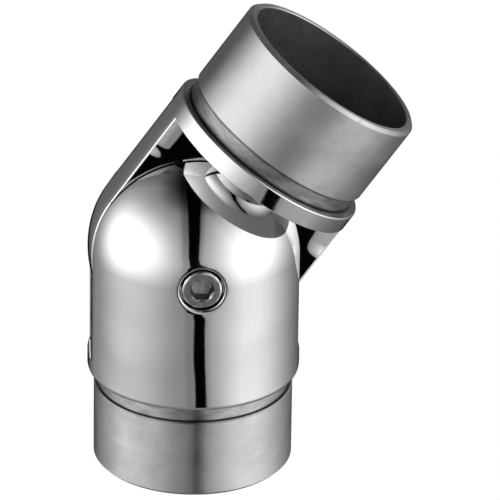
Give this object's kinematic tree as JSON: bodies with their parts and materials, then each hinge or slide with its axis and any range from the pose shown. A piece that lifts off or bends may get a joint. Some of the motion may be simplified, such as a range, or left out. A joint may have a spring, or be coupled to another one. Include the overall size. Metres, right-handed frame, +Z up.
{
  "type": "handrail connector",
  "caption": "Adjustable connector with a clamped pivot that joins two round handrail tubes end to end at any angle.",
  "frame": {"origin": "centre of the lower spigot's end face, which the part stands on", "axes": "+Z up the lower spigot's axis; the pivot axis lies along Y with the screw's head at the -Y side; the upper spigot leans towards +X"},
  "size_m": [0.0765, 0.0508, 0.1138],
  "materials": {
    "polished_steel": "mirror polished stainless casting with fine turned spigots",
    "screw_steel": "plain stainless, slightly dull",
    "spring_steel": "dull spring steel",
    "black_nylon": "matte"
  },
  "bodies": {
    "lower_fitting": {"fork_body": "polished_steel", "front_friction_washer": "black_nylon", "rear_friction_washer": "black_nylon", "lock_washer": "spring_steel"},
    "upper_fitting": {"tongue_body": "polished_steel"},
    "clamp_screw": {"pivot_screw": "screw_steel"}
  },
  "joints": [
    {"name": "tilt_pivot", "type": "hinge", "parent": "lower_fitting", "child": "upper_fitting", "pos_m": [0, 0, 0.0551], "axis": [0, 1, 0], "range_deg": [-125.3, 54.7]},
    {"name": "screw_turn", "type": "hinge", "parent": "lower_fitting", "child": "clamp_screw", "pos_m": [0, 0, 0.0551], "axis": [0, -1, 0], "range_deg": [0, 360]}
  ]
}
